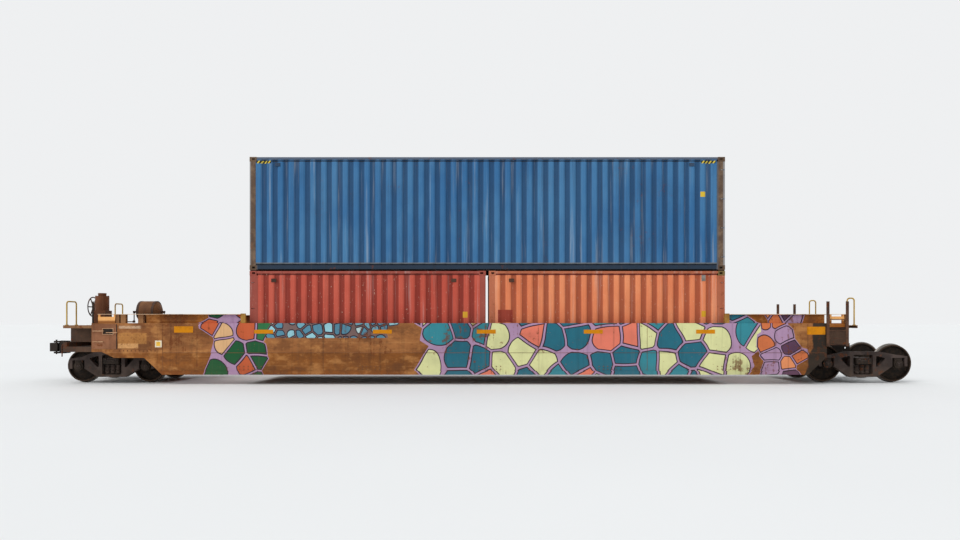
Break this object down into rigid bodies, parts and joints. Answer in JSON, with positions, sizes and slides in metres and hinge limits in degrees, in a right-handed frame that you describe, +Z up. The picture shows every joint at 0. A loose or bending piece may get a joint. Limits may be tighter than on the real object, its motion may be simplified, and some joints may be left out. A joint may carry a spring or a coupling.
{
  "type": "double-stack well wagon with freight boxes",
  "caption": "One unit of an articulated well wagon on two trucks, with two short freight boxes in its well and a long one stacked on top.",
  "frame": {"origin": "middle of the length and width, at the foot of the wheel flanges", "axes": "+X along the train, away from the coupler end, +Y to the far side, +Z up"},
  "size_m": [23.0052, 3.04, 5.82],
  "materials": {
    "car_paint": "weathered",
    "walkway_steel": "weathered",
    "yellow_paint": "weathered",
    "dark_paint": "weathered",
    "cast_steel": "rough",
    "wheel_steel": "rough",
    "axle_steel": "rough",
    "spring_steel": "rough",
    "post_paint": "weathered",
    "blue_paint": "weathered",
    "red_paint": "weathered",
    "floor_wood": "rough"
  },
  "bodies": {
    "car": {"side_sheets": "car_paint", "side_posts": "car_paint", "top_chords": "car_paint", "raised_chords": "car_paint", "bottom_chords": "car_paint", "cross_bearers": "car_paint", "bulkheads": "car_paint", "end_decks": "car_paint", "body_bolster": "car_paint", "draft_sill": "car_paint", "end_sill": "car_paint", "articulation": "cast_steel", "end_frame": "car_paint", "end_rails": "yellow_paint", "walkways": "walkway_steel", "ladders": "yellow_paint", "box_guides": "car_paint", "air_reservoir": "dark_paint", "brake_valve": "cast_steel", "hand_brake": "dark_paint", "uncoupling_lever": "dark_paint", "upper_castings": "post_paint", "upper_frame": "post_paint", "upper_walls": "blue_paint", "upper_roof": "blue_paint", "upper_floor": "floor_wood", "lower_castings": "red_paint", "lower_frame": "red_paint", "lower_walls": "red_paint", "lower_roof": "red_paint", "lower_floor": "floor_wood", "box_locks": "cast_steel"},
    "coupler": {"coupler": "cast_steel"},
    "knuckle": {"knuckle": "cast_steel"},
    "left_truck": {"left_truck_sideframes": "cast_steel", "left_truck_bolster": "cast_steel", "left_truck_springs": "spring_steel", "left_truck_bearings": "cast_steel", "left_truck_brake_beams": "cast_steel"},
    "left_truck_left_wheelset": {"left_truck_left_wheels": "wheel_steel", "left_truck_left_axle": "axle_steel"},
    "left_truck_right_wheelset": {"left_truck_right_wheels": "wheel_steel", "left_truck_right_axle": "axle_steel"},
    "right_truck": {"right_truck_sideframes": "cast_steel", "right_truck_bolster": "cast_steel", "right_truck_springs": "spring_steel", "right_truck_bearings": "cast_steel", "right_truck_brake_beams": "cast_steel"},
    "right_truck_left_wheelset": {"right_truck_left_wheels": "wheel_steel", "right_truck_left_axle": "axle_steel"},
    "right_truck_right_wheelset": {"right_truck_right_wheels": "wheel_steel", "right_truck_right_axle": "axle_steel"},
    "upper_door_near": {"upper_door_near": "blue_paint"},
    "upper_door_far": {"upper_door_far": "blue_paint"},
    "left_door_near": {"left_door_near": "red_paint"},
    "left_door_far": {"left_door_far": "red_paint"},
    "right_door_near": {"right_door_near": "red_paint"},
    "right_door_far": {"right_door_far": "red_paint"}
  },
  "joints": [
    {"name": "left_truck_swivel", "type": "hinge", "parent": "car", "child": "left_truck", "pos_m": [-9.35255, 0, 0.682], "axis": [0, 0, 1], "range_deg": [-10, 10]},
    {"name": "left_truck_left_spin", "type": "hinge", "parent": "left_truck", "child": "left_truck_left_wheelset", "pos_m": [-10.21605, 0, 0.447], "axis": [0, 1, 0], "continuous": true},
    {"name": "left_truck_right_spin", "type": "hinge", "parent": "left_truck", "child": "left_truck_right_wheelset", "pos_m": [-8.48905, 0, 0.447], "axis": [0, 1, 0], "continuous": true},
    {"name": "right_truck_swivel", "type": "hinge", "parent": "car", "child": "right_truck", "pos_m": [10.07745, 0, 0.682], "axis": [0, 0, 1], "range_deg": [-10, 10]},
    {"name": "right_truck_left_spin", "type": "hinge", "parent": "right_truck", "child": "right_truck_left_wheelset", "pos_m": [9.16295, 0, 0.5106], "axis": [0, 1, 0], "continuous": true},
    {"name": "right_truck_right_spin", "type": "hinge", "parent": "right_truck", "child": "right_truck_right_wheelset", "pos_m": [10.99195, 0, 0.5106], "axis": [0, 1, 0], "continuous": true},
    {"name": "coupler_swing", "type": "hinge", "parent": "car", "child": "coupler", "pos_m": [-10.00255, 0, 0.904], "axis": [0, 0, 1], "range_deg": [-7, 7]},
    {"name": "knuckle_open", "type": "hinge", "parent": "coupler", "child": "knuckle", "pos_m": [-11.35255, -0.115, 0.904], "axis": [0, 0, 1], "range_deg": [0, 45]},
    {"name": "upper_door_near_hinge", "type": "hinge", "parent": "car", "child": "upper_door_near", "pos_m": [6.43945, -1.203, 4.372], "axis": [0, 0, -1], "range_deg": [0, 270]},
    {"name": "upper_door_far_hinge", "type": "hinge", "parent": "car", "child": "upper_door_far", "pos_m": [6.43945, 1.203, 4.372], "axis": [0, 0, 1], "range_deg": [0, 270]},
    {"name": "left_door_near_hinge", "type": "hinge", "parent": "car", "child": "left_door_near", "pos_m": [-5.72455, -1.203, 1.6035], "axis": [0, 0, 1], "range_deg": [0, 90]},
    {"name": "left_door_far_hinge", "type": "hinge", "parent": "car", "child": "left_door_far", "pos_m": [-5.72455, 1.203, 1.6035], "axis": [0, 0, -1], "range_deg": [0, 90]},
    {"name": "right_door_near_hinge", "type": "hinge", "parent": "car", "child": "right_door_near", "pos_m": [6.43945, -1.203, 1.6035], "axis": [0, 0, -1], "range_deg": [0, 90]},
    {"name": "right_door_far_hinge", "type": "hinge", "parent": "car", "child": "right_door_far", "pos_m": [6.43945, 1.203, 1.6035], "axis": [0, 0, 1], "range_deg": [0, 90]}
  ]
}
